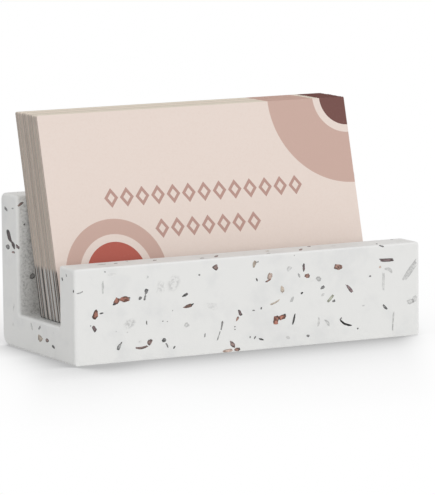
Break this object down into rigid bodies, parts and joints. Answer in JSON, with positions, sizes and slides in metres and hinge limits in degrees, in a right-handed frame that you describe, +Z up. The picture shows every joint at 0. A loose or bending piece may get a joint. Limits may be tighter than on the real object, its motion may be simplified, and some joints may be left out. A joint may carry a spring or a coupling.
{
  "type": "business card holder stand",
  "caption": "Terrazzo block desk stand with an end-to-end channel, a low front wall and a taller back wall, holding a leaning stack of printed cards that lift out one by one.",
  "frame": {"origin": "on the table, under the middle of the holder's length and depth", "axes": "+X along the channel, to the right seen from the front; +Y from the low front wall to the tall back wall; +Z up"},
  "size_m": [0.1006, 0.044, 0.0615],
  "materials": {
    "terrazzo": "cast, sanded smooth and sealed matt, with sparse small chips",
    "card_stock": "uncoated card, printed on the front",
    "pad_rubber": "matt grey rubber film"
  },
  "bodies": {
    "holder": {"holder": "terrazzo", "pad_front_left": "pad_rubber", "pad_front_right": "pad_rubber", "pad_back_left": "pad_rubber", "pad_back_right": "pad_rubber"},
    "card_01": {"card_01": "card_stock"},
    "card_02": {"card_02": "card_stock"},
    "card_03": {"card_03": "card_stock"},
    "card_04": {"card_04": "card_stock"},
    "card_05": {"card_05": "card_stock"},
    "card_06": {"card_06": "card_stock"},
    "card_07": {"card_07": "card_stock"},
    "card_08": {"card_08": "card_stock"},
    "card_09": {"card_09": "card_stock"},
    "card_10": {"card_10": "card_stock"},
    "card_11": {"card_11": "card_stock"},
    "card_12": {"card_12": "card_stock"},
    "card_13": {"card_13": "card_stock"},
    "card_14": {"card_14": "card_stock"},
    "card_15": {"card_15": "card_stock"},
    "card_16": {"card_16": "card_stock"},
    "card_17": {"card_17": "card_stock"},
    "card_18": {"card_18": "card_stock"},
    "card_19": {"card_19": "card_stock"},
    "card_20": {"card_20": "card_stock"},
    "card_21": {"card_21": "card_stock"},
    "card_22": {"card_22": "card_stock"},
    "card_23": {"card_23": "card_stock"},
    "card_24": {"card_24": "card_stock"},
    "card_25": {"card_25": "card_stock"},
    "card_26": {"card_26": "card_stock"},
    "card_27": {"card_27": "card_stock"},
    "card_28": {"card_28": "card_stock"},
    "card_29": {"card_29": "card_stock"},
    "card_30": {"card_30": "card_stock"},
    "card_31": {"card_31": "card_stock"},
    "card_32": {"card_32": "card_stock"}
  },
  "joints": [
    {"name": "card_01_lift", "type": "slide", "parent": "holder", "child": "card_01", "axis": [0, 0.257, 0.9664], "range_m": [0, 0.034]},
    {"name": "card_02_lift", "type": "slide", "parent": "holder", "child": "card_02", "axis": [0, 0.257, 0.9664], "range_m": [0, 0.034]},
    {"name": "card_03_lift", "type": "slide", "parent": "holder", "child": "card_03", "axis": [0, 0.257, 0.9664], "range_m": [0, 0.034]},
    {"name": "card_04_lift", "type": "slide", "parent": "holder", "child": "card_04", "axis": [0, 0.257, 0.9664], "range_m": [0, 0.034]},
    {"name": "card_05_lift", "type": "slide", "parent": "holder", "child": "card_05", "axis": [0, 0.257, 0.9664], "range_m": [0, 0.034]},
    {"name": "card_06_lift", "type": "slide", "parent": "holder", "child": "card_06", "axis": [0, 0.257, 0.9664], "range_m": [0, 0.034]},
    {"name": "card_07_lift", "type": "slide", "parent": "holder", "child": "card_07", "axis": [0, 0.257, 0.9664], "range_m": [0, 0.034]},
    {"name": "card_08_lift", "type": "slide", "parent": "holder", "child": "card_08", "axis": [0, 0.257, 0.9664], "range_m": [0, 0.034]},
    {"name": "card_09_lift", "type": "slide", "parent": "holder", "child": "card_09", "axis": [0, 0.257, 0.9664], "range_m": [0, 0.034]},
    {"name": "card_10_lift", "type": "slide", "parent": "holder", "child": "card_10", "axis": [0, 0.257, 0.9664], "range_m": [0, 0.034]},
    {"name": "card_11_lift", "type": "slide", "parent": "holder", "child": "card_11", "axis": [0, 0.257, 0.9664], "range_m": [0, 0.034]},
    {"name": "card_12_lift", "type": "slide", "parent": "holder", "child": "card_12", "axis": [0, 0.257, 0.9664], "range_m": [0, 0.034]},
    {"name": "card_13_lift", "type": "slide", "parent": "holder", "child": "card_13", "axis": [0, 0.257, 0.9664], "range_m": [0, 0.034]},
    {"name": "card_14_lift", "type": "slide", "parent": "holder", "child": "card_14", "axis": [0, 0.257, 0.9664], "range_m": [0, 0.034]},
    {"name": "card_15_lift", "type": "slide", "parent": "holder", "child": "card_15", "axis": [0, 0.257, 0.9664], "range_m": [0, 0.034]},
    {"name": "card_16_lift", "type": "slide", "parent": "holder", "child": "card_16", "axis": [0, 0.257, 0.9664], "range_m": [0, 0.034]},
    {"name": "card_17_lift", "type": "slide", "parent": "holder", "child": "card_17", "axis": [0, 0.257, 0.9664], "range_m": [0, 0.034]},
    {"name": "card_18_lift", "type": "slide", "parent": "holder", "child": "card_18", "axis": [0, 0.257, 0.9664], "range_m": [0, 0.034]},
    {"name": "card_19_lift", "type": "slide", "parent": "holder", "child": "card_19", "axis": [0, 0.257, 0.9664], "range_m": [0, 0.034]},
    {"name": "card_20_lift", "type": "slide", "parent": "holder", "child": "card_20", "axis": [0, 0.257, 0.9664], "range_m": [0, 0.034]},
    {"name": "card_21_lift", "type": "slide", "parent": "holder", "child": "card_21", "axis": [0, 0.257, 0.9664], "range_m": [0, 0.034]},
    {"name": "card_22_lift", "type": "slide", "parent": "holder", "child": "card_22", "axis": [0, 0.257, 0.9664], "range_m": [0, 0.034]},
    {"name": "card_23_lift", "type": "slide", "parent": "holder", "child": "card_23", "axis": [0, 0.257, 0.9664], "range_m": [0, 0.034]},
    {"name": "card_24_lift", "type": "slide", "parent": "holder", "child": "card_24", "axis": [0, 0.257, 0.9664], "range_m": [0, 0.034]},
    {"name": "card_25_lift", "type": "slide", "parent": "holder", "child": "card_25", "axis": [0, 0.257, 0.9664], "range_m": [0, 0.034]},
    {"name": "card_26_lift", "type": "slide", "parent": "holder", "child": "card_26", "axis": [0, 0.257, 0.9664], "range_m": [0, 0.034]},
    {"name": "card_27_lift", "type": "slide", "parent": "holder", "child": "card_27", "axis": [0, 0.257, 0.9664], "range_m": [0, 0.034]},
    {"name": "card_28_lift", "type": "slide", "parent": "holder", "child": "card_28", "axis": [0, 0.257, 0.9664], "range_m": [0, 0.034]},
    {"name": "card_29_lift", "type": "slide", "parent": "holder", "child": "card_29", "axis": [0, 0.257, 0.9664], "range_m": [0, 0.034]},
    {"name": "card_30_lift", "type": "slide", "parent": "holder", "child": "card_30", "axis": [0, 0.257, 0.9664], "range_m": [0, 0.034]},
    {"name": "card_31_lift", "type": "slide", "parent": "holder", "child": "card_31", "axis": [0, 0.257, 0.9664], "range_m": [0, 0.034]},
    {"name": "card_32_lift", "type": "slide", "parent": "holder", "child": "card_32", "axis": [0, 0.257, 0.9664], "range_m": [0, 0.034]}
  ]
}
